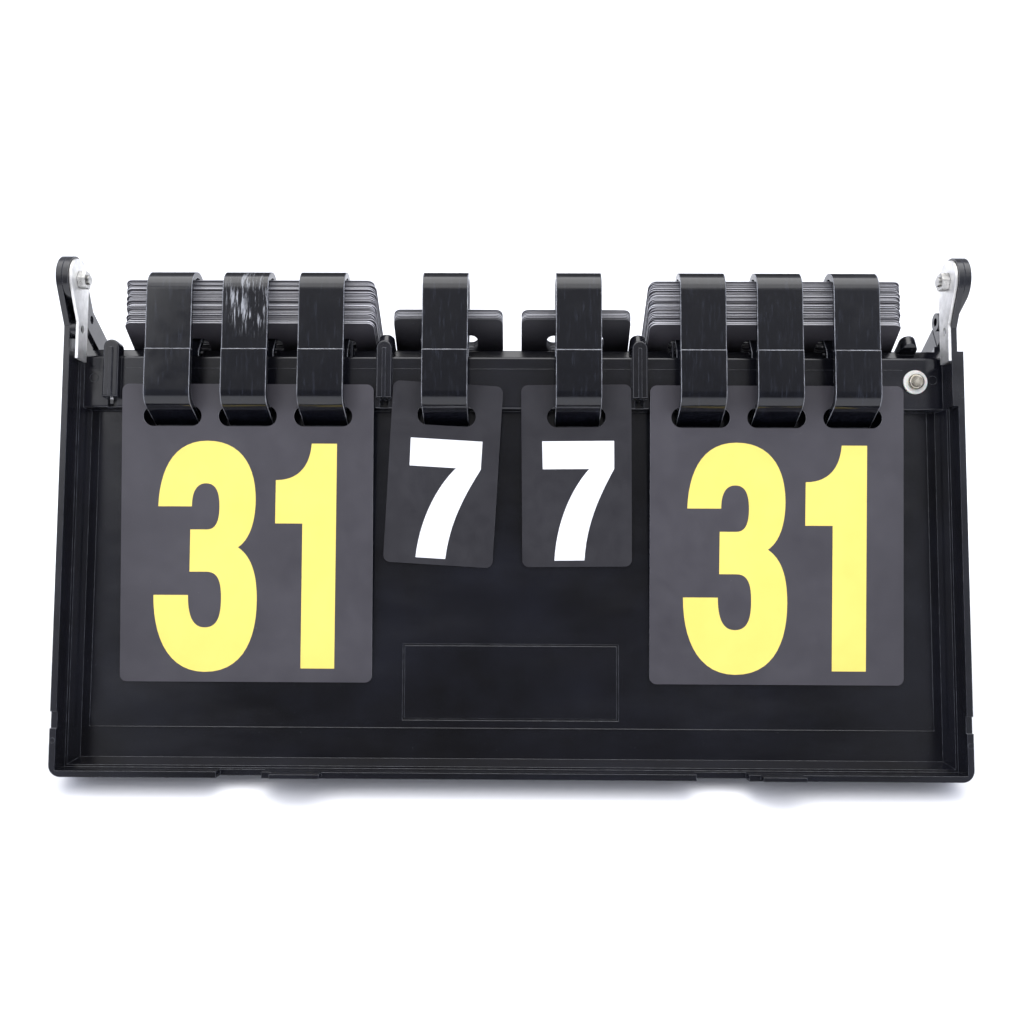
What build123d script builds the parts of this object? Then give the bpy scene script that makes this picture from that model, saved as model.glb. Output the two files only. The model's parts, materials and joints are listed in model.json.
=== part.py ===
# Tabletop flip scoreboard: two identical tray halves hinged as an A-frame, eight ring straps on the
# front half, and number cards that hang in front of the rings and lie flipped over the rear half.
# Row frame: X left to right seen from the front, Y to the back, Z up, origin on the table under the
# hinge axis. A half is drawn upright first: depth runs forward out of its panel, height up along it.
from build123d import *
import os
from math import atan, cos, degrees, radians, sin, tan

os.makedirs("parts", exist_ok=True)

# Case half
case_width = 385.0
case_height = 181.0
rim_depth = 21.0
rim_thickness = 2.6
panel_thickness = 2.5
ledge_depth = 10.0
ledge_step = 1.0
wall_taper = 2.0
corner_radius = 5.0
header_height = 23.4
header_raise = 6.0
header_wall = 2.4
header_rounding = 1.2
header_rib = 1.8
foot_trim = 1.1
rim_step_low = 20.0
rim_step_length = 7.0
rim_step_depth = 1.2
plaque_width = 94.0
plaque_height = 33.0
plaque_low = 22.0
plaque_groove = 0.8
plaque_groove_depth = 0.4

# Stand and hinge
lean = 31.0
pivot_rise = 30.0
stop_gap = 0.2
ear_radius = 10.0
ear_thickness = 2.4
ear_gap = 0.2
bolt_radius = 2.0
bolt_head_radius = 4.0
bolt_head_thickness = 2.6
running_clearance = 0.05
nut_across_flats = 7.0
nut_thickness = 3.2
seat_gap = 0.1
plate_thickness = 1.2
plate_radius = 9.0
plate_drop = 34.0
plate_hole_drop = 20.6
plate_hole_radius = 1.8
plate_boss_radius = 4.0

# Latch tabs and notches along the bottom rim: first edge and width of each
tab_places = [(-98.8, 20.6), (104.0, 17.8)]
tab_rise = 6.0
tab_thickness = 1.7
tab_barb = 0.6
tab_barb_height = 2.0
tab_clearance = 0.6

# Header posts, fins, core holes and the screw
post_inset = 16.9
post_places = [post_inset - case_width / 2, -55.9, 55.9]
screw_inset = 16.3
screw_place = case_width / 2 - screw_inset
post_width = 7.0
post_rise = 6.5
post_foot_drop = 19.0
post_projection = 3.4
post_ridge_width = 1.5
post_ridge_height = 0.8
core_hole_size = 3.8
core_hole_drop = 21.0
fin_place = 71.0
fin_thickness = 1.0
fin_rise = 7.0
fin_depth = 1.9
screw_drop = 11.0
screw_radius = 1.7
screw_length = 9.0
screw_head_radius = 3.4
screw_head_height = 2.2
washer_radius = 5.2
washer_thickness = 1.0

# Rings: straps bent in a loop, in two pieces
strap_width = 19.7
strap_thickness = 2.5
strap_clearance = 0.1
front_leg_depth = 17.6
rear_leg_depth = 0.4
arch_drop = 3.0
arch_flat = 0.1
leg_joint_rise = 0.8
hook_thickness = 3.1
hook_corner_drop = 21.0
hook_corner_height = case_height - hook_corner_drop
hook_slope = 25.0
hook_bend = 6.0
rear_foot_depth = 5.8
rear_foot_rise = 2.5
rear_bend_rise = 9.5
rear_bend = 3.0
tongue_width = 12.0
tongue_thickness = 1.1
tongue_length = 6.0

# Cards
card_thickness = 0.5
big_card_width = 110.0
big_card_height = 130.0
small_card_width = 48.0
small_card_height = 79.5
card_corner = 3.0
slot_width = 25.6
slot_height = 9.0
slot_margin = 9.5
slot_pitch = 33.0
card_gap = 0.3
stack_pitch = 0.54
group_gap = 0.2
stack_hang_gap = 0.6
big_group_sizes = [8, 8, 8, 7]
small_group_sizes = [7]
card_lift_angle = 40.0
big_group_centre = 115.4
small_group_centre = 28.2
small_ring_place = 28.9
left_small_turn = 3.3
right_small_turn = -0.6

# Worked out from the values above
half_width = case_width / 2
header_face = panel_thickness + header_raise
header_foot = case_height - header_height
ledge_level = rim_depth - ledge_depth
pivot_level = case_height + pivot_rise
lean_sine = sin(radians(lean))
lean_cosine = cos(radians(lean))
pivot_height = pivot_level * lean_cosine + rim_depth * lean_sine - foot_trim
outer_ear_inside = half_width - ear_thickness
inner_ear_outside = outer_ear_inside - ear_gap
inner_ear_inside = inner_ear_outside - ear_thickness
plate_outside = inner_ear_inside - seat_gap
plate_inside = plate_outside - plate_thickness
bore_radius = bolt_radius + running_clearance
joint_level = case_height + leg_joint_rise
arch_level = pivot_level - arch_drop
strap_half = strap_thickness / 2
front_case_place = Location((0, 0, pivot_height), (-lean, 0, 0)) * Location((0, rim_depth, -pivot_level))
rear_case_place = Location((0, 0, 0), (0, 0, 180)) * front_case_place


def upright(back, up):
    # Depth and height on an upright front half of a point back of and above the hinge axis when it stands.
    return (rim_depth - back * lean_cosine + up * lean_sine, pivot_level + back * lean_sine + up * lean_cosine)


def standing(depth, height):
    # Distance back of and above the hinge axis, when it stands, of a point of the upright front half.
    forward = depth - rim_depth
    rise = height - pivot_level
    return (rise * lean_sine - forward * lean_cosine, rise * lean_cosine + forward * lean_sine)


def side_prism(points, x_low, x_high):
    # Prism along X from an outline of (depth, height) points.
    outline = Polygon(*[(-depth, height) for depth, height in points], align=None)
    return extrude(Plane.YZ.offset(x_low) * outline, amount=x_high - x_low, dir=(1, 0, 0))


def front_block(x_low, x_high, height_low, height_high, depth_low, depth_high):
    # Box between two X, two height and two depth values of the upright half.
    size = (x_high - x_low, depth_high - depth_low, height_high - height_low)
    centre = ((x_low + x_high) / 2, -(depth_low + depth_high) / 2, (height_low + height_high) / 2)
    return Location(centre) * Box(*size)


def cross_pin(radius, x_low, x_high, depth, height):
    # Round bar along X through a point of the upright half.
    bar = Cylinder(radius, x_high - x_low, rotation=(0, 90, 0))
    return Location(((x_low + x_high) / 2, -depth, height)) * bar


def depth_pin(radius, x, height, depth_low, depth_high):
    # Round bar along the depth direction.
    bar = Cylinder(radius, depth_high - depth_low, rotation=(90, 0, 0))
    return Location((x, -(depth_low + depth_high) / 2, height)) * bar


# ---------------------------------------------------------------- case half
def side_wall(sign):
    # Stepped and tapered side wall, drawn across X and depth and run up the whole half.
    inner = half_width - rim_thickness
    ledge = inner - ledge_step
    foot = ledge - wall_taper
    outline = [(half_width, 0), (half_width, rim_depth), (inner, rim_depth), (inner, ledge_level),
               (ledge, ledge_level), (foot, panel_thickness), (foot, 0)]
    face = Polygon(*[(sign * x, -depth) for x, depth in outline], align=None)
    return extrude(face, amount=case_height, dir=(0, 0, 1))


def bottom_wall():
    ledge = rim_thickness + ledge_step
    foot = ledge + wall_taper
    outline = [(0, 0), (rim_depth, 0), (rim_depth, rim_thickness), (ledge_level, rim_thickness),
               (ledge_level, ledge), (panel_thickness, foot), (0, foot)]
    return side_prism(outline, -half_width, half_width)


def header_band():
    # Raised band across the top, open at its back, with ribs behind the posts.
    inner = half_width - rim_thickness / 2
    band = front_block(-inner, inner, header_foot, case_height, 0, header_face)
    front_edges = band.edges().filter_by(Axis.X).group_by(Axis.Y)[0]
    band = fillet(front_edges, header_rounding)
    hollow = front_block(-inner, inner, header_foot + header_wall, case_height - header_wall,
                         -1, header_face - header_wall)
    for x in post_places + [screw_place, -fin_place, fin_place, 0]:
        rib = front_block(x - header_rib / 2, x + header_rib / 2, header_foot, case_height, -2, header_face)
        hollow -= rib
    return band - hollow


def header_post(x):
    # Round-topped post with a ridge down its front, standing on the band's face.
    low = case_height - post_foot_drop
    top = case_height + post_rise - post_width / 2
    front = header_face + post_projection
    column = front_block(x - post_width / 2, x + post_width / 2, low, top, header_face - header_wall, front)
    column += depth_pin(post_width / 2, x, top, header_face - header_wall, front)
    column = fillet(column.edges().group_by(Axis.Y)[0], post_ridge_height)
    ridge = front_block(x - post_ridge_width / 2, x + post_ridge_width / 2, low, top,
                        front - post_ridge_height, front + post_ridge_height)
    return column + ridge


def core_hole(x):
    level = case_height - core_hole_drop
    half = core_hole_size / 2
    return front_block(x - half, x + half, level - half, level + half, header_face - header_wall - 1, header_face + 1)


def fin(x):
    return front_block(x - fin_thickness / 2, x + fin_thickness / 2, case_height - header_wall,
                       case_height + fin_rise, header_face - fin_depth - header_rounding,
                       header_face - header_rounding)


def ear_outline():
    # Arm from the side wall up to the hinge, with its front edge tangent to the round head.
    tangent = radians(30)
    front = (rim_depth + ear_radius * cos(tangent), pivot_level - ear_radius * sin(tangent))
    return [(rim_depth - ear_radius, pivot_level), (rim_depth - ear_radius, header_foot),
            (rim_depth, header_foot), (rim_depth, pivot_level - ear_radius / sin(tangent)), front,
            (rim_depth, pivot_level)]


def ear(x_low, x_high):
    arm = side_prism(ear_outline(), x_low, x_high)
    return arm + cross_pin(ear_radius, x_low, x_high, rim_depth, pivot_level)


def latch_tab(start, width):
    # Thin tab above the bottom rim with a small barb at its tip.
    back = rim_thickness - tab_thickness
    outline = [(ledge_level, back), (rim_depth + tab_rise, back), (rim_depth + tab_rise, rim_thickness),
               (rim_depth + tab_rise - tab_barb_height, rim_thickness + tab_barb),
               (rim_depth + tab_rise - tab_barb_height, rim_thickness), (ledge_level, rim_thickness)]
    return side_prism(outline, start, start + width)


def latch_notch(start, width):
    # Notch that takes the other half's tab, which lies mirrored from side to side.
    low = -(start + width) - tab_clearance
    high = -start + tab_clearance
    return front_block(low, high, -1, rim_thickness + 1, rim_depth - tab_rise - tab_clearance, rim_depth + 1)


def plaque_outline():
    # Shallow groove round a bare rectangle low on the panel.
    outer = front_block(-plaque_width / 2, plaque_width / 2, plaque_low, plaque_low + plaque_height,
                        panel_thickness - plaque_groove_depth, panel_thickness + 1)
    inner = front_block(-plaque_width / 2 + plaque_groove, plaque_width / 2 - plaque_groove,
                        plaque_low + plaque_groove, plaque_low + plaque_height - plaque_groove,
                        panel_thickness - 1, panel_thickness + 2)
    return outer - inner


def half_outline():
    # Walls, panel and header in one, with rounded lower corners.
    panel = front_block(-half_width, half_width, 0, header_foot + header_wall, 0, panel_thickness)
    body = panel + side_wall(-1) + side_wall(1) + bottom_wall()
    corners = [edge for edge in body.edges().filter_by(Axis.Y)
               if abs(abs(edge.center().X) - half_width) < 0.01 and abs(edge.center().Z) < 0.01]
    return fillet(corners, corner_radius) + header_band()


def trimmed(body):
    # Cuts the half back to the middle plane and gives it a flat to stand on.
    wide = half_width + 1
    low = standing(0, 0)[1]
    beyond = [upright(-stop_gap / 2, 20), upright(-stop_gap / 2, -90), upright(90, -90), upright(90, 20)]
    under = [upright(-200, low + foot_trim), upright(0, low + foot_trim), upright(0, low - 9), upright(-200, low - 9)]
    return body - side_prism(beyond, -wide, wide) - side_prism(under, -wide, wide)


def rim_steps():
    cuts = []
    for sign in (-1, 1):
        x = sign * (half_width - rim_thickness / 2)
        cuts.append(front_block(x - rim_thickness, x + rim_thickness, rim_step_low, rim_step_low + rim_step_length,
                                rim_depth - rim_step_depth, rim_depth + 1))
    return cuts


def make_case_half():
    body = half_outline()
    for x in post_places:
        body += header_post(x)
        body -= core_hole(x)
    for x in (-fin_place, fin_place):
        body += fin(x)
    body = trimmed(body)
    body += ear(-half_width, -outer_ear_inside)
    body += ear(inner_ear_inside, inner_ear_outside)
    body += front_block(inner_ear_inside, half_width - rim_thickness / 2, header_foot, case_height,
                        rim_depth - ear_radius, rim_depth)
    plate_hole = (rim_depth - plate_boss_radius, pivot_level - plate_hole_drop)
    body += cross_pin(plate_boss_radius, -outer_ear_inside - ear_thickness / 2, -plate_outside, *plate_hole)
    body -= cross_pin(plate_hole_radius, -half_width + ear_thickness / 2, half_width + 1, *plate_hole)
    body -= cross_pin(bore_radius, -half_width - 1, half_width + 1, rim_depth, pivot_level)
    body -= depth_pin(screw_radius + running_clearance, screw_place, case_height - screw_drop,
                      header_face - screw_length, header_face + 1)
    for start, width in tab_places:
        body += latch_tab(start, width)
        body -= latch_notch(start, width)
    for cut in rim_steps() + [plaque_outline()]:
        body -= cut
    for x in ring_places():
        body -= hook_foot_slot(x)
        body -= arch_foot_slot(x)
    return body


# ---------------------------------------------------------------- rings
def ring_places():
    places = []
    for sign in (-1, 1):
        places += [sign * big_group_centre + step * slot_pitch for step in (-1, 0, 1)]
        places.append(sign * small_ring_place)
    return sorted(places)


def shifted_path(points, radii, shift):
    # Path beside a bent centre line: its points moved sideways, its bend radii grown or shrunk to match.
    moved = []
    bends = []
    normals = []
    for first, second in zip(points, points[1:]):
        along = (Vector(*second) - Vector(*first)).normalized()
        normals.append(Vector(-along.Y, along.X))
    moved.append(Vector(*points[0]) + normals[0] * shift)
    for index in range(1, len(points) - 1):
        before, after = normals[index - 1], normals[index]
        bisector = (before + after).normalized()
        moved.append(Vector(*points[index]) + bisector * (shift / bisector.dot(after)))
        turn = before.cross(after).Z
        bends.append(radii[index - 1] - (shift if turn > 0 else -shift))
    moved.append(Vector(*points[-1]) + normals[-1] * shift)
    return moved, bends


def strap(points, radii, thickness, width, x):
    # Flat strap bent along a centre line of (depth, height) points.
    flat = [(-depth, height) for depth, height in points]
    left, left_bends = shifted_path(flat, radii, thickness / 2)
    right, right_bends = shifted_path(flat, radii, -thickness / 2)
    if radii:
        sides = [FilletPolyline(*left, radius=left_bends), FilletPolyline(*right, radius=right_bends)]
    else:
        sides = [Line(*left), Line(*right)]
    ends = [Line(left[0], right[0]), Line(left[-1], right[-1])]
    band = make_face(Curve() + sides + ends)
    return extrude(Plane.YZ.offset(x - width / 2) * band, amount=width, dir=(1, 0, 0))


def hook_path():
    reach = front_leg_depth + (hook_thickness - strap_thickness) / 2
    slope = tan(radians(hook_slope))
    return [(reach, joint_level), (reach, hook_corner_height), (0, hook_corner_height - reach * slope)], [hook_bend]


def arch_path():
    crown = arch_level + (front_leg_depth - rear_leg_depth) / 2
    bend = (front_leg_depth - rear_leg_depth - arch_flat) / 2
    points = [(front_leg_depth, joint_level), (front_leg_depth, crown), (rear_leg_depth, crown),
              (rear_leg_depth, case_height + rear_bend_rise), (rear_foot_depth, case_height + rear_foot_rise),
              (rear_foot_depth, case_height - header_wall)]
    return points, [bend, bend, rear_bend, rear_bend]


def tongue(x, clearance):
    # Tongue under the arch's front leg, which seats in the hook's pocket.
    half = tongue_width / 2 + clearance
    deep = tongue_thickness / 2 + clearance
    return front_block(x - half, x + half, joint_level - tongue_length - clearance, joint_level,
                       front_leg_depth - deep, front_leg_depth + deep)


def make_hook(x):
    points, radii = hook_path()
    hook = strap(points, radii, hook_thickness, strap_width, x)
    behind_panel = front_block(x - strap_width, x + strap_width, 0, case_height, -10, 0)
    return hook - behind_panel - tongue(x, strap_clearance)


def make_arch(x):
    points, radii = arch_path()
    return strap(points, radii, strap_thickness, strap_width, x) + tongue(x, 0)


def hook_foot_slot(x):
    points, radii = hook_path()
    foot = strap([points[1], (-5, points[2][1] - 5 * tan(radians(hook_slope)))], [],
                 hook_thickness + 2 * strap_clearance, strap_width + 2 * strap_clearance, x)
    return foot & front_block(x - strap_width, x + strap_width, 0, header_foot, -1, panel_thickness + 1)


def arch_foot_slot(x):
    half = strap_width / 2 + strap_clearance
    deep = strap_half + strap_clearance
    return front_block(x - half, x + half, case_height - header_wall - strap_clearance, case_height + 1,
                       rear_foot_depth - deep, rear_foot_depth + deep)


# ---------------------------------------------------------------- cards
def card_outline(width, height, slots, rounded):
    # Card standing on the X and Z axes, its top edge's middle at the origin.
    sheet = Location((0, -height / 2)) * (RectangleRounded(width, height, card_corner) if rounded
                                          else Rectangle(width, height))
    for place in slots:
        level = -slot_margin - slot_height / 2
        slot = RectangleRounded(slot_width, slot_height, slot_height / 2 - 0.05) if rounded \
            else Rectangle(slot_width, slot_height)
        sheet -= Location((place, level)) * slot
    return sheet


def card(width, height, slots, rounded):
    sheet = card_outline(width, height, slots, rounded)
    return extrude(Plane.XZ.offset(-card_thickness / 2) * sheet, amount=card_thickness)


big_slots = [-slot_pitch, 0, slot_pitch]


def front_card_hang():
    # Depth and height of the slot's upper edge where a front card hangs on the hook's foot.
    depth = header_face + card_gap + 1.4
    points, radii = hook_path()
    slope = radians(hook_slope)
    centre = points[1][1] - (points[1][0] - depth) * tan(slope)
    return depth, centre + hook_thickness / 2 / cos(slope) + card_gap


def place_front_card(x, height, turn):
    # Hangs by its slots with the lower edge resting near the panel; a turned card hangs from one corner.
    depth, level = front_card_hang()
    level += strap_width / 2 * abs(sin(radians(turn)))
    drop = height - slot_margin
    tilt = degrees(atan((depth - panel_thickness - card_gap - card_thickness / 2) / drop))
    hang = Location((x, -depth, level), (tilt, 0, 0)) * Location((0, 0, 0), (0, turn, 0))
    return front_case_place * hang * Location((0, 0, slot_margin))


def front_swing_axis():
    # Depth and height of the axis about which a lifted front card keeps to the hook's foot.
    depth, level = front_card_hang()
    return depth - slot_margin * tan(radians(hook_slope)), level + slot_margin


def rear_card_crossing(lean_back, offset):
    # Distance up a flipped card from the rear header's lower edge to the strap that it is threaded on.
    edge = standing(header_face, header_foot)
    along = (-sin(radians(lean_back)), cos(radians(lean_back)))
    away = (cos(radians(lean_back)), sin(radians(lean_back)))
    start = (-edge[0] + offset * away[0], edge[1] + offset * away[1])
    points = [standing(*point) for point in arch_path()[0]]
    found = []
    for first, second in zip(points[1:], points[2:]):
        run = (second[0] - first[0], second[1] - first[1])
        gap = (first[0] - start[0], first[1] - start[1])
        cross = along[0] * run[1] - along[1] * run[0]
        up = (gap[0] * run[1] - gap[1] * run[0]) / cross
        part = (gap[0] * along[1] - gap[1] * along[0]) / cross
        if 0 <= part <= 1:
            thick = strap_half * (run[0] ** 2 + run[1] ** 2) ** 0.5 / abs(cross)
            found.append((up, thick))
    return start, along, min(found)


def rear_lean(height):
    # A flipped card leans less than the rear half, from the header's lower edge down to the panel.
    rest = height - header_height - slot_margin - slot_height / 2
    return lean - degrees(atan(header_raise / rest))


def make_rear_stack(x, width, height, slots, count, first, group):
    # Flipped cards of one group: count cards after the first ones, each threaded where its slots meet the strap.
    lean_back = rear_lean(height)
    leaf = card(width, height, slots, False)
    leaves = []
    for index in range(first, first + count):
        offset = card_gap + card_thickness / 2 + index * stack_pitch + group * group_gap
        start, along, (up, thick) = rear_card_crossing(lean_back, offset)
        top = up + thick + stack_hang_gap + slot_margin
        place = Location((x, start[0] + along[0] * top, pivot_height + start[1] + along[1] * top),
                         (lean_back, 0, 0))
        leaves.append(place * leaf)
    return leaves


# ---------------------------------------------------------------- hinge hardware
def make_plate(sign):
    low, high = sorted((sign * plate_inside, sign * plate_outside))
    body = side_prism([(rim_depth - plate_radius, pivot_level), (rim_depth - plate_radius, pivot_level - plate_drop),
                       (rim_depth, pivot_level - plate_drop), (rim_depth, pivot_level - 2 * plate_radius),
                       (rim_depth + plate_radius * cos(radians(30)), pivot_level - plate_radius / 2),
                       (rim_depth, pivot_level)], low, high)
    body += cross_pin(plate_radius, low, high, rim_depth, pivot_level)
    body -= cross_pin(bore_radius, low - 1, high + 1, rim_depth, pivot_level)
    body -= cross_pin(plate_hole_radius, low - 1, high + 1, rim_depth - plate_boss_radius, pivot_level - plate_hole_drop)
    return body


def make_pivot_bolt(sign):
    tip = plate_inside - seat_gap - nut_thickness - 1.0
    head_seat = half_width + seat_gap
    low, high = sorted((sign * tip, sign * (head_seat + bolt_head_thickness / 2)))
    bolt = cross_pin(bolt_radius, low, high, rim_depth, pivot_level)
    low, high = sorted((sign * head_seat, sign * (head_seat + bolt_head_thickness)))
    head = cross_pin(bolt_head_radius, low, high, rim_depth, pivot_level)
    rim = head.edges().filter_by(GeomType.CIRCLE).sort_by(Axis.X)[-1 if sign > 0 else 0]
    return bolt + fillet(rim, bolt_head_thickness * 0.4)


def make_pivot_nut(sign):
    inside = sign * (plate_inside - seat_gap)
    hexagon = RegularPolygon(nut_across_flats / 2, 6, major_radius=False)
    nut = extrude(Plane.YZ.offset(inside) * Location((-rim_depth, pivot_level)) * hexagon,
                  amount=nut_thickness, dir=(-sign, 0, 0))
    low, high = sorted((inside + sign, inside - sign * (nut_thickness + 1)))
    return nut - cross_pin(bore_radius, low, high, rim_depth, pivot_level)


def make_header_washer():
    face = header_face + seat_gap / 2
    level = case_height - screw_drop
    ring = depth_pin(washer_radius, screw_place, level, face, face + washer_thickness)
    return ring - depth_pin(screw_radius + running_clearance, screw_place, level, face - 1, face + washer_thickness + 1)


def make_header_screw():
    seat = header_face + seat_gap + washer_thickness
    level = case_height - screw_drop
    shank = depth_pin(screw_radius, screw_place, level, seat - screw_length, seat + screw_head_height / 2)
    head = depth_pin(screw_head_radius, screw_place, level, seat, seat + screw_head_height)
    rim = head.edges().filter_by(GeomType.CIRCLE).sort_by(Axis.Y)[0]
    return shank + fillet(rim, screw_head_height * 0.5)


# ---------------------------------------------------------------- the whole board
def save(name, solids):
    shapes = solids if isinstance(solids, list) else [solids]
    export_step(Compound(label=name, children=shapes), "parts/" + name + ".step")


def side_name(x):
    return "left" if x < 0 else "right"


def save_rings():
    for number, x in enumerate(ring_places(), start=1):
        save(f"ring_hook_{number}", front_case_place * make_hook(x))
        save(f"ring_arch_{number}", front_case_place * make_arch(x))


def save_stacks(name, x, width, height, slots, sizes):
    first = 0
    for group, count in enumerate(sizes):
        ending = f"_{group + 1}" if len(sizes) > 1 else ""
        save(name + ending, make_rear_stack(x, width, height, slots, count, first, group))
        first += count


def save_cards():
    turns = {-1: left_small_turn, 1: right_small_turn}
    big = card(big_card_width, big_card_height, big_slots, True)
    small = card(small_card_width, small_card_height, [0], True)
    for sign in (-1, 1):
        side = side_name(sign)
        x = sign * big_group_centre
        save(f"score_card_{side}", place_front_card(x, big_card_height, 0) * big)
        save_stacks(f"score_stack_{side}", x, big_card_width, big_card_height, big_slots, big_group_sizes)
        x = sign * small_group_centre
        save(f"set_card_{side}", place_front_card(x, small_card_height, turns[sign]) * small)
        save_stacks(f"set_stack_{side}", x, small_card_width, small_card_height, [0], small_group_sizes)


def save_hardware():
    for sign in (-1, 1):
        side = side_name(sign)
        save(f"hinge_plate_{side}", front_case_place * make_plate(sign))
        save(f"pivot_bolt_{side}", front_case_place * make_pivot_bolt(sign))
        save(f"pivot_nut_{side}", front_case_place * make_pivot_nut(sign))
    save("header_washer", front_case_place * make_header_washer())
    save("header_screw", front_case_place * make_header_screw())


case_half = make_case_half()
save("front_case", front_case_place * case_half)
save("rear_case", rear_case_place * case_half)
save_rings()
save_cards()
save_hardware()
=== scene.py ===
import json
import math
import bmesh
import bpy
import numpy as np
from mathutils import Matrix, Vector


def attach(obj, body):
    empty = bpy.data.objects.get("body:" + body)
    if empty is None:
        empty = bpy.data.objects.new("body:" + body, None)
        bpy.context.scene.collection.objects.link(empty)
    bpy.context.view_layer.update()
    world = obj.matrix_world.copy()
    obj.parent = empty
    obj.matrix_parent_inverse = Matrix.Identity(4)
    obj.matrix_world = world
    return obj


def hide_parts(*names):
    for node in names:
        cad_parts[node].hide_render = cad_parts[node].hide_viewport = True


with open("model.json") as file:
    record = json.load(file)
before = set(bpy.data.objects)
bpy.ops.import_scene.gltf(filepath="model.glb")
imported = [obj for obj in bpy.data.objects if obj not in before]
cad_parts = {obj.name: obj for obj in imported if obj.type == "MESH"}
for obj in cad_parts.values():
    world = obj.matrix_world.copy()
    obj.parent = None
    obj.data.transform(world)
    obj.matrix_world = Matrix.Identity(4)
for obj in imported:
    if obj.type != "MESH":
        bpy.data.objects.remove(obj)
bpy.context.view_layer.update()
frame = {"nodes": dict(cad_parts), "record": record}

nodes = frame["nodes"]
mm = 0.001
print("frame loaded:", len(nodes), "nodes")

# The case halves: sizes in mm, angles in degrees. Depth counts from the panel's back, height from the foot.
# wallFoot is the width that a wall takes where it meets the panel.
case = {"width": 385.0, "rimDepth": 21.0, "panel": 2.5, "wallFoot": 5.6, "lean": 31.0,
        "pivotLevel": 211.0, "headerFoot": 157.6}
hinge = frame["record"]["behaviour"]["joints"][0]["pos_m"]
leanAngle = math.radians(case["lean"])


def halfPoints(x, depth, height, side=1):
    # The half's depth and height turned by its lean about the hinge line.
    # Side -1 is the rear half, turned round.
    x, depth, height = np.broadcast_arrays(np.asarray(x, float), depth, height)
    rise, reach = height - case["pivotLevel"], depth - case["rimDepth"]
    out = rise * math.sin(leanAngle) - reach * math.cos(leanAngle)
    up = rise * math.cos(leanAngle) + reach * math.sin(leanAngle)
    return np.stack([x * side, out * side, up], -1) * mm + np.array([0, 0, hinge[2]])


def linearColour(hexText):
    # the standard curve from a screen value to linear light
    parts = [int(hexText[i:i + 2], 16) / 255 for i in (1, 3, 5)]
    return tuple(c / 12.92 if c <= 0.04045 else ((c + 0.055) / 1.055) ** 2.4 for c in parts) + (1.0,)


def addNode(tree, kind, settings=None, links=None):
    # A setting goes to the input with that number or name, or to the node itself where no input has the name.
    node = tree.nodes.new(kind)
    for name, value in (settings or {}).items():
        if isinstance(name, int) or name in node.inputs:
            node.inputs[name].default_value = value
        else:
            setattr(node, name, value)
    for name, source in (links or {}).items():
        tree.links.new(source, node.inputs[name])
    return node


def newFinish(name, surface):
    # starts a material: returns it with its tree, its shader and the object coordinates
    finish = bpy.data.materials.new(name)
    finish.use_nodes = True
    tree = finish.node_tree
    shader = tree.nodes["Principled BSDF"]
    for socket, value in surface.items():
        shader.inputs[socket].default_value = value
    place = addNode(tree, "ShaderNodeTexCoord")
    return finish, tree, shader, place.outputs["Object"]


noiseRoughness = 0.6


def noiseField(tree, place, size, detail, stretch=(1, 1, 1)):
    # noise whose marks are about size mm across, drawn out where stretch is under one
    mapped = addNode(tree, "ShaderNodeMapping", {"Scale": stretch}, {"Vector": place})
    settings = {"Scale": 1 / (size * mm), "Detail": detail, "Roughness": noiseRoughness}
    return addNode(tree, "ShaderNodeTexNoise", settings, {"Vector": mapped.outputs[0]}).outputs["Fac"]


def fieldRange(tree, field, low, high, toLow, toHigh):
    # a field's span from low to high spread over another span, and clamped to it
    settings = {"From Min": low, "From Max": high, "To Min": toLow, "To Max": toHigh}
    return addNode(tree, "ShaderNodeMapRange", settings, {"Value": field}).outputs["Result"]


def blendColours(tree, share, first, second):
    # the colour sockets of the mix node are its inputs 6 and 7 and its output 2
    node = addNode(tree, "ShaderNodeMix", {"data_type": "RGBA"}, {0: share})
    for index, colour in ((6, first), (7, second)):
        if isinstance(colour, str):
            node.inputs[index].default_value = linearColour(colour)
        else:
            tree.links.new(colour, node.inputs[index])
    return node.outputs[2]


def multiply(tree, first, second):
    node = addNode(tree, "ShaderNodeMath", {"operation": "MULTIPLY"}, {0: first})
    if isinstance(second, float):
        node.inputs[1].default_value = second
    else:
        tree.links.new(second, node.inputs[1])
    return node.outputs[0]


edges = {"samples": 6, "flatTurn": 0.99, "fullTurn": 0.8}


def softEdges(tree, radius):
    # Moulded edges are slightly round: the normal is turned within that radius of an edge, and the share by
    # which it turns from the flat one marks the edges where the case and straps get a painted highlight mixed
    # with wear.
    rounded = addNode(tree, "ShaderNodeBevel", {"samples": edges["samples"], "Radius": radius * mm})
    flat = addNode(tree, "ShaderNodeNewGeometry")
    turn = addNode(tree, "ShaderNodeVectorMath", {"operation": "DOT_PRODUCT"},
                   {0: rounded.outputs[0], 1: flat.outputs["Normal"]})
    edgeHighlightShare = fieldRange(tree, turn.outputs["Value"], edges["flatTurn"], edges["fullTurn"], 0.0, 1.0)
    return rounded.outputs[0], edgeHighlightShare


def bumped(tree, height, distance, strength, normal=None):
    links = {"Height": height}
    if normal is not None:
        links["Normal"] = normal
    settings = {"Distance": distance * mm, "Strength": strength}
    return addNode(tree, "ShaderNodeBump", settings, links).outputs[0]
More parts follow.
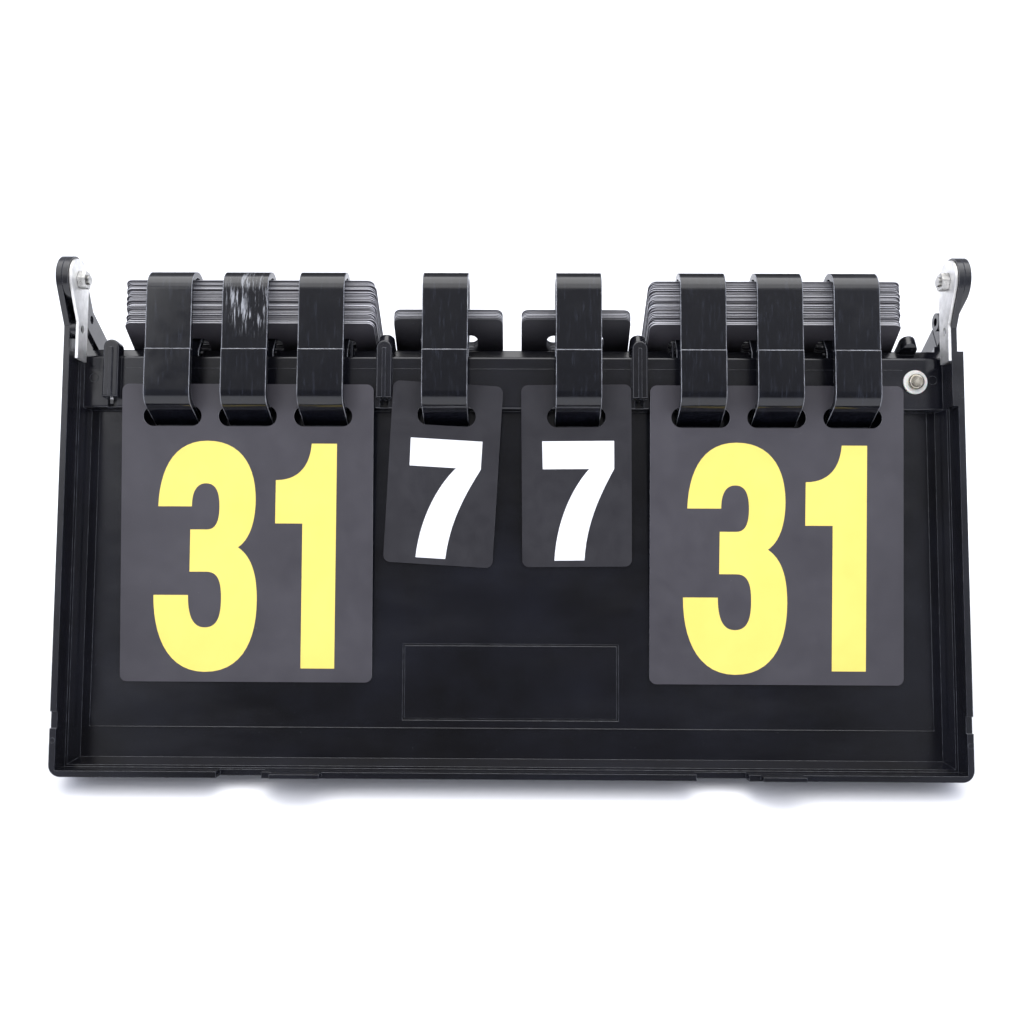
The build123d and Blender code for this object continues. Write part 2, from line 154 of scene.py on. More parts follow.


# In the finishes a noise holds the size of its marks in mm, its detail and its stretch. A range holds a
# value's low and high end and what they become. A bump holds its height in mm and its strength.

# Injection-moulded high-impact polystyrene from a polished mould: black with a cool sheen, faint flow clouds
# that change its gloss, fine dust, and edges painted pale as a painted highlight mixed with wear.
moulded = {"surface": {"IOR": 1.55, "Specular IOR Level": 0.5},
           "body": "#0b0b0f", "cloud": "#15161d", "rubbed": "#5c5e64", "dustColour": "#6d6f74",
           "edgeRadius": 0.35, "cloudNoise": (38.0, 4), "cloudRange": (0.35, 0.7, 0, 1),
           "wearNoise": (3.0, 5), "wearRange": (0.42, 0.62, 0.15, 0.8),
           "dustNoise": (0.7, 2), "dustRange": (0.74, 0.8, 0.0, 0.5),
           "glossNoise": (14.0, 4, (0.25, 1, 1)), "glossRange": (0.35, 0.7, 0.14, 0.27),
           "grainNoise": (0.9, 3), "grainBump": (0.02, 0.35)}


def mouldedPolystyrene():
    finish, tree, shader, place = newFinish("mouldedPolystyrene", moulded["surface"])
    cloud = fieldRange(tree, noiseField(tree, place, *moulded["cloudNoise"]), *moulded["cloudRange"])
    gloss = noiseField(tree, place, *moulded["glossNoise"])
    normal, edge = softEdges(tree, moulded["edgeRadius"])
    highlightAndWear = fieldRange(tree, noiseField(tree, place, *moulded["wearNoise"]), *moulded["wearRange"])
    dust = fieldRange(tree, noiseField(tree, place, *moulded["dustNoise"]), *moulded["dustRange"])
    colour = blendColours(tree, cloud, moulded["body"], moulded["cloud"])
    # the edges are painted pale grey: a painted highlight, its strength varied by a wear noise
    colour = blendColours(tree, multiply(tree, edge, highlightAndWear), colour, moulded["rubbed"])
    colour = blendColours(tree, dust, colour, moulded["dustColour"])
    grain = noiseField(tree, place, *moulded["grainNoise"])
    tree.links.new(colour, shader.inputs["Base Color"])
    tree.links.new(fieldRange(tree, gloss, *moulded["glossRange"]), shader.inputs["Roughness"])
    tree.links.new(bumped(tree, grain, *moulded["grainBump"], normal), shader.inputs["Normal"])
    return finish


# Moulded polypropylene strap: near-black, glossier than the case, with fine lengthwise rubs from the cards
# and edges painted near-white as a painted highlight mixed with wear. The scuffed one has a patch of pale
# scratches on its front leg.
strapFinish = {"surface": {"IOR": 1.5}, "body": "#0e0f14", "rub": "#2b2e37", "rubbed": "#c9cbd2",
               "edgeRadius": 0.7, "rubNoise": (1.1, 4, (1, 0.12, 0.12)), "rubRange": (0.55, 0.75, 0, 0.6),
               "glossNoise": (9.0, 4), "glossRange": (0.35, 0.7, 0.1, 0.2),
               "wearNoise": (5.0, 4), "wearRange": (0.35, 0.6, 0.35, 1.0),
               "grainNoise": (1.4, 3, (1, 0.3, 0.3)), "grainBump": (0.02, 0.12)}
scuffMarks = {"place": (-113.0, 19.0, 203.0), "reach": 17.0, "core": 0.35, "colour": "#b9bbc0",
              "lineNoise": (0.9, 5, (1, 0.1, 0.1)), "lineRange": (0.52, 0.62, 0, 0.85),
              "patchNoise": (5.0, 4, (1, 0.4, 0.4)), "patchRange": (0.42, 0.6, 0, 1)}


def scuffShare(tree, place, centre):
    # fine lengthwise lines, broken into patches, that fade out from the centre
    away = addNode(tree, "ShaderNodeVectorMath", {"operation": "DISTANCE", 1: centre}, {0: place})
    reach = scuffMarks["reach"]
    near = fieldRange(tree, away.outputs["Value"], reach * mm, reach * scuffMarks["core"] * mm, 0, 1)
    lines = noiseField(tree, place, *scuffMarks["lineNoise"])
    patch = noiseField(tree, place, *scuffMarks["patchNoise"])
    broken = multiply(tree, fieldRange(tree, lines, *scuffMarks["lineRange"]),
                      fieldRange(tree, patch, *scuffMarks["patchRange"]))
    return multiply(tree, broken, near)


def mouldedStrap(name, scuffCentre=None):
    finish, tree, shader, place = newFinish(name, strapFinish["surface"])
    normal, edge = softEdges(tree, strapFinish["edgeRadius"])
    rub = noiseField(tree, place, *strapFinish["rubNoise"])
    rub = fieldRange(tree, rub, *strapFinish["rubRange"])
    highlightAndWear = fieldRange(tree, noiseField(tree, place, *strapFinish["wearNoise"]), *strapFinish["wearRange"])
    colour = blendColours(tree, rub, strapFinish["body"], strapFinish["rub"])
    # the edges are painted near-white: a painted highlight, its strength varied by a wear noise
    colour = blendColours(tree, multiply(tree, edge, highlightAndWear), colour, strapFinish["rubbed"])
    if scuffCentre is not None:
        colour = blendColours(tree, scuffShare(tree, place, scuffCentre), colour, scuffMarks["colour"])
    gloss = noiseField(tree, place, *strapFinish["glossNoise"])
    grain = noiseField(tree, place, *strapFinish["grainNoise"])
    tree.links.new(colour, shader.inputs["Base Color"])
    tree.links.new(fieldRange(tree, gloss, *strapFinish["glossRange"]), shader.inputs["Roughness"])
    tree.links.new(bumped(tree, grain, *strapFinish["grainBump"], normal), shader.inputs["Normal"])
    return finish


# Die-cut black polypropylene sheet with a fine satin grain: the big cards look dark grey and the small ones
# darker, the cut edges catch light as pale lines, and a few specks of dust lie on the faces. The real grain
# is near 0.1 mm and is drawn coarser so that it shows.
sheetFinish = {"surface": {"IOR": 1.49}, "score": ("#3c3a3f", "#444247"), "set": ("#242327", "#2b2a2e"),
               "cut": "#d2d2d6", "cutRange": (0.8, 0.6, 0, 1), "dustColour": "#8f8f92",
               "cloudNoise": (30, 3), "cloudRange": (0.35, 0.65, 0, 1),
               "dustNoise": (0.8, 2), "dustRange": (0.76, 0.8, 0, 0.6),
               "shadeNoise": (1.5, 2), "shadeRange": (0.4, 0.6, 0.15, 1),
               "glossNoise": (6, 3), "glossRange": (0.3, 0.7, 0.38, 0.5),
               "grainNoise": (0.45, 2), "grainBump": (0.03, 0.35)}


def dieCutSheet(name, facing, kind):
    # facing is the card's own normal in object space, which tells faces from cut edges
    finish, tree, shader, place = newFinish(name, sheetFinish["surface"])
    own = addNode(tree, "ShaderNodeTexCoord").outputs["Normal"]
    dot = addNode(tree, "ShaderNodeVectorMath", {"operation": "DOT_PRODUCT", 1: facing}, {0: own})
    size = addNode(tree, "ShaderNodeMath", {"operation": "ABSOLUTE"}, {0: dot.outputs["Value"]}).outputs[0]
    cut = fieldRange(tree, size, *sheetFinish["cutRange"])
    cloud = fieldRange(tree, noiseField(tree, place, *sheetFinish["cloudNoise"]), *sheetFinish["cloudRange"])
    colour = blendColours(tree, cloud, *sheetFinish[kind])
    dust = fieldRange(tree, noiseField(tree, place, *sheetFinish["dustNoise"]), *sheetFinish["dustRange"])
    colour = blendColours(tree, dust, colour, sheetFinish["dustColour"])
    # the shade changes from sheet to sheet and hardly along one edge
    level = addNode(tree, "ShaderNodeVectorMath", {"operation": "DOT_PRODUCT", 1: facing}, {0: place})
    onlyLevel = addNode(tree, "ShaderNodeCombineXYZ", {}, {"X": level.outputs["Value"]}).outputs[0]
    shade = noiseField(tree, onlyLevel, *sheetFinish["shadeNoise"])
    shade = fieldRange(tree, shade, *sheetFinish["shadeRange"])
    colour = blendColours(tree, multiply(tree, cut, shade), colour, sheetFinish["cut"])
    gloss = noiseField(tree, place, *sheetFinish["glossNoise"])
    grain = noiseField(tree, place, *sheetFinish["grainNoise"])
    tree.links.new(colour, shader.inputs["Base Color"])
    tree.links.new(fieldRange(tree, gloss, *sheetFinish["glossRange"]), shader.inputs["Roughness"])
    tree.links.new(bumped(tree, grain, *sheetFinish["grainBump"]), shader.inputs["Normal"])
    return finish


# Screen-printed ink: flat opaque colour with a slight satin and the sheet's grain under it.
inkFinish = {"surface": {"IOR": 1.48, "Roughness": 0.5}, "thinNoise": (22, 3), "thinRange": (0.35, 0.7, 0, 1),
             "grainBump": (0.02, 0.25), "yellow": ("#f4dc70", "#f0d76a"), "white": ("#fcfcfd", "#f3f3f6")}


def printedInk(name, ink, thin):
    finish, tree, shader, place = newFinish(name, inkFinish["surface"])
    thinned = fieldRange(tree, noiseField(tree, place, *inkFinish["thinNoise"]), *inkFinish["thinRange"])
    grain = noiseField(tree, place, *sheetFinish["grainNoise"])
    tree.links.new(blendColours(tree, thinned, ink, thin), shader.inputs["Base Color"])
    tree.links.new(bumped(tree, grain, *inkFinish["grainBump"]), shader.inputs["Normal"])
    return finish


# Zinc- or nickel-plated steel: grey metal, blotchy gloss from the plating, rounded pressed edges.
# Each kind has its body colour, its shade, and its lowest and highest roughness.
plating = {"surface": {"Metallic": 1.0}, "edgeRadius": 0.25,
           "shadeNoise": (4, 4), "shadeRange": (0.35, 0.65, 0, 1),
           "glossNoise": (2.5, 4), "glossSpan": (0.3, 0.7), "grainNoise": (0.5, 3), "grainBump": (0.01, 0.4),
           "plate": ("#f0efec", "#dddcd8", 0.42, 0.6), "bolt": ("#c9c8c4", "#8f8e8b", 0.22, 0.4),
           "screw": ("#cfc8b8", "#8a8478", 0.18, 0.35)}


def platedSteel(name, body, shade, roughLow, roughHigh):
    finish, tree, shader, place = newFinish(name, plating["surface"])
    normal, edge = softEdges(tree, plating["edgeRadius"])
    shaded = fieldRange(tree, noiseField(tree, place, *plating["shadeNoise"]), *plating["shadeRange"])
    gloss = noiseField(tree, place, *plating["glossNoise"])
    gloss = fieldRange(tree, gloss, *plating["glossSpan"], roughLow, roughHigh)
    grain = noiseField(tree, place, *plating["grainNoise"])
    tree.links.new(blendColours(tree, shaded, body, shade), shader.inputs["Base Color"])
    tree.links.new(gloss, shader.inputs["Roughness"])
    tree.links.new(bumped(tree, grain, *plating["grainBump"], normal), shader.inputs["Normal"])
    return finish


# Natural nylon washer: milky white, waxy, with soft edges.
nylonFinish = {"surface": {"IOR": 1.53, "Roughness": 0.38, "Subsurface Weight": 0.2,
                           "Subsurface Scale": 0.001},
               "edgeRadius": 0.2, "colours": ("#e9e8e3", "#d9d8d2"),
               "cloudNoise": (2, 3), "cloudRange": (0.3, 0.7, 0, 1)}


def naturalNylon():
    finish, tree, shader, place = newFinish("naturalNylon", nylonFinish["surface"])
    normal, edge = softEdges(tree, nylonFinish["edgeRadius"])
    cloud = fieldRange(tree, noiseField(tree, place, *nylonFinish["cloudNoise"]), *nylonFinish["cloudRange"])
    tree.links.new(blendColours(tree, cloud, *nylonFinish["colours"]), shader.inputs["Base Color"])
    tree.links.new(normal, shader.inputs["Normal"])
    return finish


def dress(name, finish):
    # gives a node's slots the finish
    thing = nodes[name]
    if not thing.material_slots:
        thing.data.materials.append(finish)
    for holder in thing.material_slots:
        holder.material = finish


tray = mouldedPolystyrene()
strap = mouldedStrap("mouldedStrap")
scuffedStrap = mouldedStrap("mouldedStrapScuffed", tuple(halfPoints(*scuffMarks["place"])))
plateSteel = platedSteel("zincPlatedPlate", *plating["plate"])
boltSteel = platedSteel("zincPlatedBolt", *plating["bolt"])
screwSteel = platedSteel("nickelPlatedScrew", *plating["screw"])
nylon = naturalNylon()
for name in nodes:
    if name.endswith("_case"):
        dress(name, tray)
    elif name.startswith("ring_"):
        dress(name, scuffedStrap if name == "ring_arch_2" else strap)
    elif name.startswith("hinge_plate"):
        dress(name, plateSteel)
    elif name.startswith("pivot"):
        dress(name, boltSteel)
dress("header_screw", screwSteel)
dress("header_washer", nylon)
print("case, rings and hardware finished")


def flatPiece(outlines, thickness, rounding=0.0):
    # Closed outlines filled in their plane, holes left open, and thickened evenly both ways.
    # Returns the points in mm and the faces.
    curve = bpy.data.curves.new("flat", "CURVE")
    curve.dimensions = "2D"
    curve.fill_mode = "BOTH"
    curve.extrude = thickness / 2 - rounding
    curve.bevel_depth = rounding
    curve.bevel_resolution = 0
    curve.offset = -rounding
    for outline in outlines:
        spline = curve.splines.new("POLY")
        spline.points.add(len(outline) - 1)
        spline.points.foreach_set("co", np.c_[outline, np.zeros(len(outline)), np.ones(len(outline))].ravel())
        spline.use_cyclic_u = True
    holder = bpy.data.objects.new("flat", curve)
    bpy.context.collection.objects.link(holder)
    bpy.context.view_layer.update()
    made = bpy.data.meshes.new_from_object(holder)
    points = np.empty(len(made.vertices) * 3)
    made.vertices.foreach_get("co", points)
    faces = [tuple(face.vertices) for face in made.polygons]
    bpy.data.objects.remove(holder)
    return points.reshape(-1, 3), faces


# points closer than that many mm become one
weld = 0.002


def joinedPiece(name, parts, finish, body):
    # Several point arrays with their faces put in one mesh that rides on a body, doubles merged and faces
    # turned outwards.
    points = np.concatenate([part[0] for part in parts])
    starts = np.cumsum([0] + [len(part[0]) for part in parts[:-1]])
    faces = [tuple(int(i) + int(start) for i in face)
             for part, start in zip(parts, starts) for face in part[1]]
    mesh = bpy.data.meshes.new(name)
    mesh.from_pydata(points.tolist(), [], faces)
    shell = bmesh.new()
    shell.from_mesh(mesh)
    bmesh.ops.remove_doubles(shell, verts=shell.verts, dist=weld * mm)
    bmesh.ops.recalc_face_normals(shell, faces=shell.faces)
    shell.to_mesh(mesh)
    shell.free()
    mesh.update()
    mesh.materials.append(finish)
    piece = bpy.data.objects.new(name, mesh)
    bpy.context.collection.objects.link(piece)
    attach(piece, body)
    return piece


def roundedBox(width, height, radius, centre=(0, 0), steps=6):
    # Rectangle whose corners are quarter circles, run round once.
    turn = np.linspace(0, math.pi / 2, steps)
    corners = [(1, 1, 0), (-1, 1, 1), (-1, -1, 2), (1, -1, 3)]
    arcs = [np.c_[sx * (width / 2 - radius) + radius * np.cos(turn + k * math.pi / 2),
                  sy * (height / 2 - radius) + radius * np.sin(turn + k * math.pi / 2)]
            for sx, sy, k in corners]
    return np.concatenate(arcs) + np.array(centre)


# Cards in mm, heights counted down from the top edge. hang and shift are the play of a flipped card on its
# ring, up or down and to either side.
cards = {"score": {"width": 110.0, "height": 130.0, "slots": (-33.0, 0.0, 33.0),
                   "hang": (-0.15, 0.3), "shift": 0.5},
         "set": {"width": 48.0, "height": 79.5, "slots": (0.0,), "hang": (0.0, 0.0), "shift": 0.1},
         "corner": 3.0, "thickness": 0.5, "edge": 0.08,
         "slotWidth": 25.6, "slotHeight": 9.0, "slotMargin": 9.5, "slotCorner": 3.0}


def leafPiece(kind):
    size = cards[kind]
    outlines = [roundedBox(size["width"], size["height"], cards["corner"], (0, -size["height"] / 2))]
    level = -cards["slotMargin"] - cards["slotHeight"] / 2
    for x in size["slots"]:
        outlines.append(roundedBox(cards["slotWidth"], cards["slotHeight"], cards["slotCorner"], (x, level)))
    return flatPiece(outlines, cards["thickness"], cards["edge"])


def nodePoints(name):
    mesh = nodes[name].data
    points = np.empty(len(mesh.vertices) * 3, np.float32)
    mesh.vertices.foreach_get("co", points)
    return points.reshape(-1, 3).astype(float)


def placed(points, right, up, out, origin):
    # a flat piece's own axes, in mm, laid along three directions in space
    return points[:, :1] * mm * right + points[:, 1:2] * mm * up + points[:, 2:] * mm * out + origin


# Flipped cards, in mm: the header's lower edge stands headerRaise above the panel and headerDrop under the
# case's top. Points within sameLevel are on one face.
flipped = {"headerRaise": 6.0, "headerDrop": 23.4, "sameLevel": 0.01, "seed": 11}


def flippedLean(kind):
    # a flipped card leans less than the case, from the header's lower edge down to the panel
    rest = cards[kind]["height"] - flipped["headerDrop"] - cards["slotMargin"] - cards["slotHeight"] / 2
    return leanAngle - math.atan(flipped["headerRaise"] / rest)


def bodyOf(node):
    return next(body for body, members in frame["record"]["behaviour"]["bodies"].items() if node in members)


def leafPlaces(name, along, out):
    # Finds each card of a packed stack by the levels of its two faces along the shared normal.
    points = nodePoints(name)
    levels = points @ out
    order = np.sort(levels)
    near = flipped["sameLevel"] * mm
    faces = order[np.r_[True, np.diff(order) > near]]
    places = []
    for low, high in zip(faces[::2], faces[1::2]):
        own = points[np.abs(levels - low) < near]
        places.append(((own[:, 0].min() + own[:, 0].max()) / 2, (own @ along).max(), (low + high) / 2))
    return places


spread = np.random.default_rng(flipped["seed"])
toLeft = np.array([-1.0, 0, 0])
rearFaces = {}
for kind in ("score", "set"):
    leaf, leafFaces = leafPiece(kind)
    tilt = flippedLean(kind)
    along = np.array([0, -math.sin(tilt), math.cos(tilt)])
    out = np.array([0, math.cos(tilt), math.sin(tilt)])
    finish = dieCutSheet("dieCutSheet_" + kind + "Flipped", tuple(out), kind)
    for name in sorted(n for n in nodes if n.startswith(kind + "_stack")):
        parts = []
        for x, top, level in leafPlaces(name, along, out):
            shift = spread.uniform(-1, 1) * cards[kind]["shift"] * mm
            hang = spread.uniform(*cards[kind]["hang"]) * mm
            origin = np.array([x + shift, 0, 0]) + along * (top + hang) + out * level
            parts.append((placed(leaf, toLeft, along, out, origin), leafFaces))
            side = "left" if x < 0 else "right"
            if level >= rearFaces.get((kind, side), (-math.inf,))[0]:
                rearFaces[(kind, side)] = (level, name, origin, along, out)
        piece = joinedPiece(name + "_cards", parts, finish, bodyOf(name))
        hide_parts(name)
print("flipped cards made")

# Heavy condensed numerals, in mm from the card's middle and down from its top edge. Two numbers are the end
# of a straight run, six are a curve's two handles and its end.
numerals = {
    "3": [(-38.8, 53.6), (-38.2, 37.5, -32.4, 24.9, -17.4, 24.9), (-2.6, 24.9, 3.8, 36.0, 3.8, 50.6),
          (3.8, 59.5, 1.6, 67.8, -3.8, 71.4), (2.6, 75.6, 4.6, 84.0, 4.6, 94.5),
          (4.6, 111.5, -1.4, 125.7, -17.9, 125.7), (-34.2, 125.7, -40.6, 110.4, -40.6, 92.3), (-25.5, 92.3),
          (-25.5, 101.6, -23.2, 106.4, -18.1, 106.4), (-12.8, 106.4, -11.0, 101.9, -11.0, 93.8),
          (-11.0, 86.6, -12.2, 82.1, -17.5, 82.1), (-24.9, 82.1), (-24.7, 63.7), (-17.5, 63.7),
          (-13.2, 63.7, -12.0, 59.4, -12.0, 53.6), (-12.0, 47.3, -13.6, 43.5, -17.9, 43.5),
          (-22.2, 43.5, -24.1, 47.4, -24.1, 53.6)],
    "1": [(28.2, 26.0), (39.2, 26.0), (38.6, 124.0), (23.9, 124.0), (24.3, 60.9), (12.4, 60.9), (12.6, 42.0),
          (22.4, 42.0, 27.4, 36.0, 28.2, 26.0)],
    "7": [(-15.0, 24.5), (16.4, 24.5), (16.4, 36.7), (10.5, 47.5, 4.2, 60.0, 3.2, 76.7), (-9.9, 76.7),
          (-9.0, 60.0, -2.5, 45.5, 5.5, 36.7), (-14.8, 36.7)]}
# cardTurn is how far each front card hangs turned, in degrees
printing = {"thickness": 0.04, "lift": 0.03, "steps": 14, "score": "31", "set": "7",
            "cardTurn": {"score_card_left": 0.0, "score_card_right": 0.0,
                         "set_card_left": 3.3, "set_card_right": -0.6}}


def numeralOutline(runs):
    # Each curve is the cubic between two ends and two handles, sampled evenly.
    t = np.linspace(0, 1, printing["steps"])[1:, None]
    points = [np.array([runs[0]])]
    for run in runs[1:]:
        start, way = points[-1][-1], np.array(run).reshape(-1, 2)
        if len(way) == 1:
            points.append(way)
        else:
            points.append((1 - t) ** 3 * start + 3 * (1 - t) ** 2 * t * way[0] + 3 * (1 - t) * t ** 2 * way[1]
                          + t ** 3 * way[2])
    outline = np.concatenate(points)
    if np.allclose(outline[0], outline[-1]):
        outline = outline[:-1]
    return outline * np.array([1, -1])


def printNumber(name, kind, body, origin, right, up, out):
    # lays the numerals just proud of the card's face
    parts = []
    for character in printing[kind]:
        points, faces = flatPiece([numeralOutline(numerals[character])], printing["thickness"])
        raised = points + np.array([0, 0, cards["thickness"] / 2 + printing["lift"]])
        parts.append((placed(raised, right, up, out, origin), faces))
    joinedPiece(name, parts, inks[kind], body)


def middle(levels):
    return (levels.min() + levels.max()) / 2


inks = {"score": printedInk("printedYellowInk", *inkFinish["yellow"]),
        "set": printedInk("printedWhiteInk", *inkFinish["white"])}
for name, turn in printing["cardTurn"].items():
    # the plate's thinnest direction is its normal, here pointed to the front, and up is the rest of +Z
    points = nodePoints(name)
    cloud = points - points.mean(0)
    normal = np.linalg.svd(cloud.T @ cloud)[2][2]
    out = normal * -np.sign(normal[1])
    flatUp = np.array([0, 0, 1.0]) - out * out[2]
    flatUp /= np.linalg.norm(flatUp)
    flatRight = np.cross(flatUp, out)
    turned = math.radians(turn)
    right = flatRight * math.cos(turned) - flatUp * math.sin(turned)
    up = flatUp * math.cos(turned) + flatRight * math.sin(turned)
    origin = right * middle(points @ right) + up * (points @ up).max() + out * middle(points @ out)
    kind = name.split("_")[0]
    dress(name, dieCutSheet("dieCutSheet_" + name.replace("_", ""), tuple(out), kind))
    printNumber(name + "_number", kind, name, origin, right, up, out)
for (kind, side), (level, name, origin, along, out) in rearFaces.items():
    printNumber(kind + "_rear_" + side + "_number", kind, bodyOf(name), origin, toLeft, along, out)
print("numbers printed")

# a direction that no bead runs along
offPath = np.array([0.13, 0.97, 0.2])


def beadAlong(path, radius, closed=False, sides=8):
    # A small circle carried along a path: ring by ring, its points are the path's point plus the radius times
    # the cosine and sine of the turn along two directions square to the path. A flat face closes an open end.
    path = np.asarray(path, float)
    run = np.roll(path, -1, 0) - np.roll(path, 1, 0) if closed else np.gradient(path, axis=0)
    run /= np.linalg.norm(run, axis=1)[:, None]
    aside = np.cross(run, offPath)
    aside /= np.linalg.norm(aside, axis=1)[:, None]
    other = np.cross(run, aside)
    turn = np.linspace(0, 2 * math.pi, sides, endpoint=False)
    rings = path[:, None] + radius * (np.cos(turn)[None, :, None] * aside[:, None]
                                      + np.sin(turn)[None, :, None] * other[:, None])
    count = len(path)
    i, j = np.meshgrid(np.arange(count if closed else count - 1), np.arange(sides), indexing="ij")
    nextI, nextJ = (i + 1) % count, (j + 1) % sides
    ring, nextRing = i * sides, nextI * sides
    faces = np.stack([ring + j, ring + nextJ, nextRing + nextJ, nextRing + j], -1)
    faces = [tuple(face) for face in faces.reshape(-1, 4)]
    if not closed:
        faces += [tuple(range(sides - 1, -1, -1)), tuple(range((count - 1) * sides, count * sides))]
    return rings.reshape(-1, 3), faces


# Fine marks from the mould, in mm: a step line round the panel, a line along the header, and the rings that
# the ejector pins leave. A pin has its place across, its height, its depth and its radius.
mouldMarks = {"stepFromWall": 3.6, "stepFromFoot": 13.0, "beadRadius": 0.28, "beadSink": 0.22, "steps": 12,
              "headerStep": 175.4, "headerDepth": 8.5, "headerReach": 171.0, "pinBead": 0.12, "pinLift": 0.02,
              "headerSteps": 3, "pinSteps": 20, "pinSides": 6,
              "pins": [(191.2, 15.0, 21.0, 1.1), (191.2, 162.0, 21.0, 1.1), (184.0, 171.0, 8.5, 1.9)]}


def stepRoute():
    # down the left side from the header, along the foot and up the right side, as places across and heights
    edge = case["width"] / 2 - case["wallFoot"] - mouldMarks["stepFromWall"]
    foot, head = case["wallFoot"] + mouldMarks["stepFromFoot"], case["headerFoot"]
    share = np.linspace(0, 1, mouldMarks["steps"])
    later = share[1:]
    return np.concatenate([np.c_[np.full(len(share), -edge), head + (foot - head) * share],
                           np.c_[-edge + 2 * edge * later, np.full(len(later), foot)],
                           np.c_[np.full(len(later), edge), foot + (head - foot) * later]])


route = stepRoute()
stepLevel = case["panel"] + mouldMarks["beadRadius"] - mouldMarks["beadSink"]
fullTurn = np.linspace(0, 2 * math.pi, mouldMarks["pinSteps"], endpoint=False)
across = np.linspace(-mouldMarks["headerReach"], mouldMarks["headerReach"], mouldMarks["headerSteps"])
for side, half in ((1, "front"), (-1, "rear")):
    parts = [beadAlong(halfPoints(route[:, 0], stepLevel, route[:, 1], side), mouldMarks["beadRadius"] * mm)]
    for x, height, depth, radius in mouldMarks["pins"]:
        for sign in (-1, 1):
            ring = halfPoints(sign * x + radius * np.cos(fullTurn), depth + mouldMarks["pinLift"],
                              height + radius * np.sin(fullTurn), side)
            parts.append(beadAlong(ring, mouldMarks["pinBead"] * mm, True, mouldMarks["pinSides"]))
    parts.append(beadAlong(halfPoints(across, mouldMarks["headerDepth"], mouldMarks["headerStep"], side),
                           mouldMarks["pinBead"] * mm))
    joinedPiece(half + "_panel_step", parts, tray, half + "_half")
print("mould marks made")

# Stage, in metres, with the paper's noise as in the finishes. A light has its name, place, width and length,
# and power. The world grows dark where its direction's Y runs from darkFrom to darkTo, and bright again where
# its X runs from besideFrom to besideTo.
studio = {"floorReach": 60.0, "paper": ("#fbfbfb", "#f6f6f7"), "paperNoise": (180, 3), "aim": (0, 0, 0.1),
          "sky": 1.1, "dark": 0.16, "beside": 1.3, "darkFrom": 0.4, "darkTo": 0.85, "besideFrom": 0.24,
          "besideTo": 0.6, "tint": ("#fbfbff", "#dfe6ff"), "seen": "#ffffff", "sun": 1.6, "sunSpread": 70.0,
          "boxes": [("light_left", (-1.2, -0.9, 1.1), (1.0, 1.2), 6.0),
                    ("light_right", (1.3, -0.8, 1.0), (1.0, 1.2), 5.0),
                    ("light_top", (0.0, 0.3, 1.7), (1.8, 1.2), 9.0)]}


def paperFloor():
    # Matt white studio paper, bright and even, with a trace of tooth.
    finish, tree, shader, place = newFinish("mattPaper", {"Roughness": 0.9, "Specular IOR Level": 0.2})
    tooth = noiseField(tree, place, *studio["paperNoise"])
    tree.links.new(blendColours(tree, tooth, *studio["paper"]), shader.inputs["Base Color"])
    return finish


def makeFloor(reach):
    mesh = bpy.data.meshes.new("paper_floor")
    corners = [(-reach, -reach, 0), (reach, -reach, 0), (reach, reach, 0), (-reach, reach, 0)]
    mesh.from_pydata(corners, [], [(0, 1, 2, 3)])
    mesh.materials.append(paperFloor())
    floor = bpy.data.objects.new("paper_floor", mesh)
    bpy.context.collection.objects.link(floor)


def softBox(name, place, size, power):
    light = bpy.data.lights.new(name, "AREA")
    light.shape = "RECTANGLE"
    light.size, light.size_y = size
    light.energy = power
    holder = bpy.data.objects.new(name, light)
    bpy.context.collection.objects.link(holder)
    holder.location = place
    holder.rotation_euler = (Vector(place) - Vector(studio["aim"])).to_track_quat("Z", "Y").to_euler()


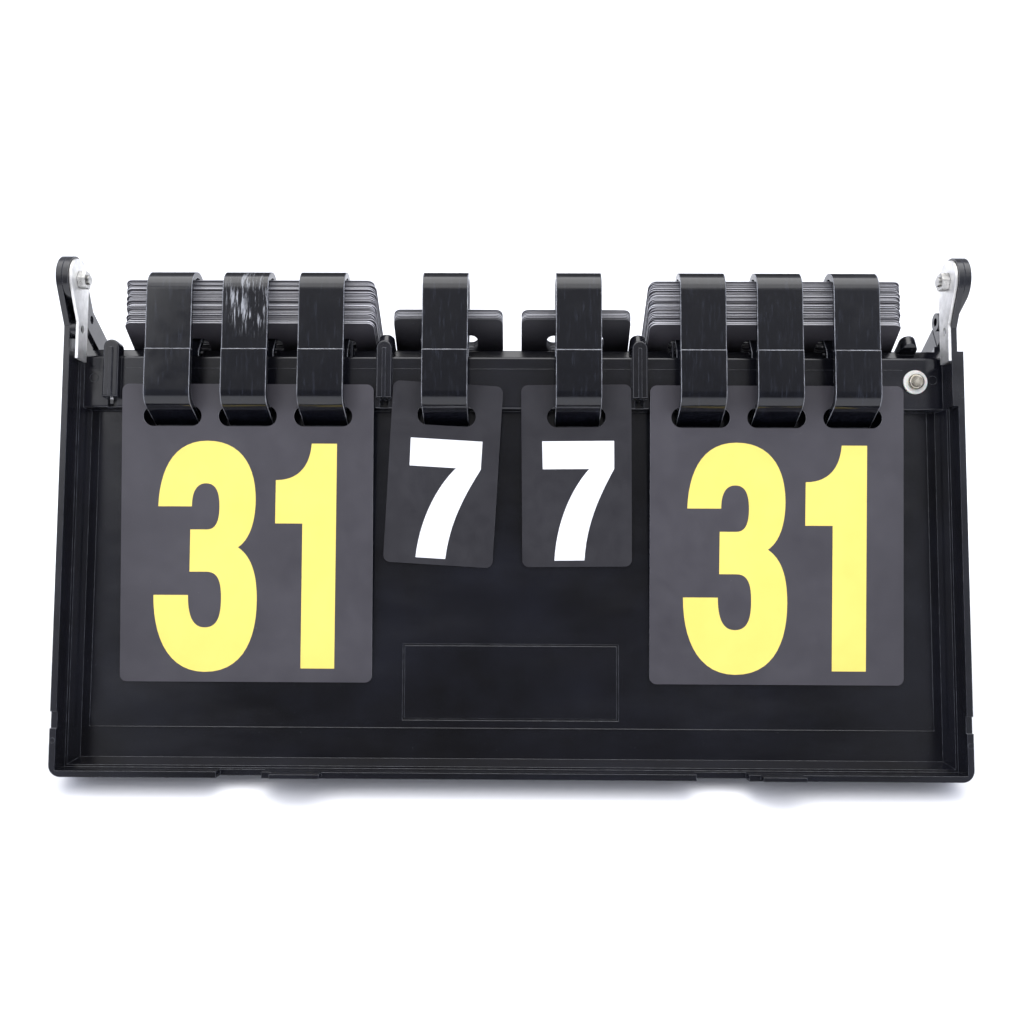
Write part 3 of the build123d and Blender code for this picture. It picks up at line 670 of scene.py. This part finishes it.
def makeWorld():
    # White room that is darker straight in front of and behind the object, where black surfaces mirror it,
    # and plain white where it is seen past the floor.
    world = bpy.data.worlds.new("studio")
    world.use_nodes = True
    tree = world.node_tree
    direction = addNode(tree, "ShaderNodeTexCoord").outputs["Generated"]
    way = addNode(tree, "ShaderNodeSeparateXYZ", {}, {0: direction})
    ahead = addNode(tree, "ShaderNodeMath", {"operation": "ABSOLUTE"}, {0: way.outputs["Y"]}).outputs[0]
    fading = {"interpolation_type": "SMOOTHSTEP",
              "From Min": studio["darkFrom"], "From Max": studio["darkTo"],
              "To Min": studio["sky"], "To Max": studio["dark"]}
    strength = addNode(tree, "ShaderNodeMapRange", fading, {"Value": ahead}).outputs["Result"]
    aside = addNode(tree, "ShaderNodeMath", {"operation": "ABSOLUTE"}, {0: way.outputs["X"]}).outputs[0]
    beside = fieldRange(tree, aside, studio["besideFrom"], studio["besideTo"], 0.0, 1.0)
    total = addNode(tree, "ShaderNodeMath", {"operation": "MAXIMUM"},
                    {0: strength, 1: multiply(tree, beside, studio["beside"])}).outputs[0]
    seen = addNode(tree, "ShaderNodeLightPath").outputs["Is Camera Ray"]
    plain = addNode(tree, "ShaderNodeMix", {"data_type": "FLOAT", 3: 1.0}, {0: seen, 2: total}).outputs[0]
    background = tree.nodes["Background"]
    tint = blendColours(tree, beside, *studio["tint"])
    tree.links.new(blendColours(tree, seen, tint, studio["seen"]), background.inputs["Color"])
    tree.links.new(plain, background.inputs["Strength"])
    return world


makeFloor(studio["floorReach"])
for name, place, size, power in studio["boxes"]:
    softBox(name, place, size, power)
bpy.context.scene.world = makeWorld()
sun = bpy.data.lights.new("light_even", "SUN")
sun.energy = studio["sun"]
sun.angle = math.radians(studio["sunSpread"])
bpy.context.collection.objects.link(bpy.data.objects.new("light_even", sun))
bpy.context.scene.view_settings.view_transform = "Standard"

# focal length in pixels of a 1024 pixel frame, place, sensor and near limit in mm, angles in degrees
view = {"focal": 1044.0, "place": (4.24, -445.15, 304.67), "pitch": 26.84, "yaw": -0.55, "sensor": 36.0,
        "frame": 1024, "near": 10.0}
lens = bpy.data.cameras.new("camera")
lens.sensor_width = view["sensor"]
lens.lens = view["focal"] / view["frame"] * view["sensor"]
lens.clip_start = view["near"] * mm
camera = bpy.data.objects.new("camera", lens)
bpy.context.collection.objects.link(camera)
camera.location = tuple(v * mm for v in view["place"])
camera.rotation_euler = (math.radians(90 - view["pitch"]), 0, math.radians(-view["yaw"]))
bpy.context.scene.camera = camera
print("floor, light and camera set")
